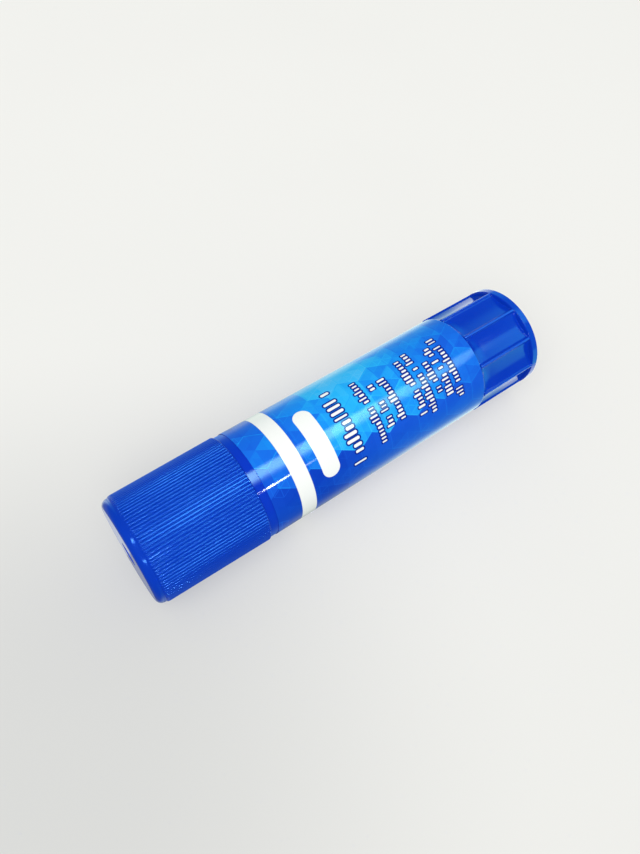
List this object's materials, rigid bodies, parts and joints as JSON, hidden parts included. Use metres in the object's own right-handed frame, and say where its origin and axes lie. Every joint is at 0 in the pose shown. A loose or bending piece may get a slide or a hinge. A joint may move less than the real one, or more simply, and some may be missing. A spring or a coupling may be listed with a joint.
{
  "type": "glue stick",
  "caption": "Twist-up glue stick with a finely ribbed pull-off cap, a plain labelled barrel and a grip knob that raises the glue on a screw-driven carrier.",
  "frame": {"origin": "centre of the knob's base face, where the standing stick meets the table", "axes": "+Z along the stick from the knob to the cap; -Y is the side that the label faces, and its lap is at +Y"},
  "size_m": [0.0254, 0.0254, 0.105],
  "materials": {
    "barrel": "glossy moulded polypropylene, royal blue",
    "label": null,
    "cap": "satin-gloss moulded polypropylene, royal blue",
    "knob": "glossy moulded polypropylene, royal blue",
    "spindle": "natural white moulded plastic",
    "carrier": "natural white moulded plastic",
    "glue": "waxy off-white solid adhesive"
  },
  "bodies": {
    "barrel_body": {"barrel": "barrel", "label": "label"},
    "cap_body": {"cap": "cap"},
    "knob_body": {"knob": "knob", "spindle": "spindle"},
    "carrier_body": {"carrier": "carrier", "glue": "glue"}
  },
  "joints": [
    {"name": "cap_pull", "type": "slide", "parent": "barrel_body", "child": "cap_body", "axis": [0, 0, 1], "range_m": [0, 0.03]},
    {"name": "knob_turn", "type": "hinge", "parent": "barrel_body", "child": "knob_body", "pos_m": [0, 0, 0], "axis": [0, 0, 1], "range_deg": [0, 4248]},
    {"name": "carrier_rise", "type": "slide", "parent": "barrel_body", "child": "carrier_body", "axis": [0, 0, 1], "range_m": [0, 0.059], "deforming": ["glue"]}
  ],
  "couplings": [
    {"joint": "knob_turn", "follows": "carrier_rise", "rad_per_m": 1256.6}
  ]
}
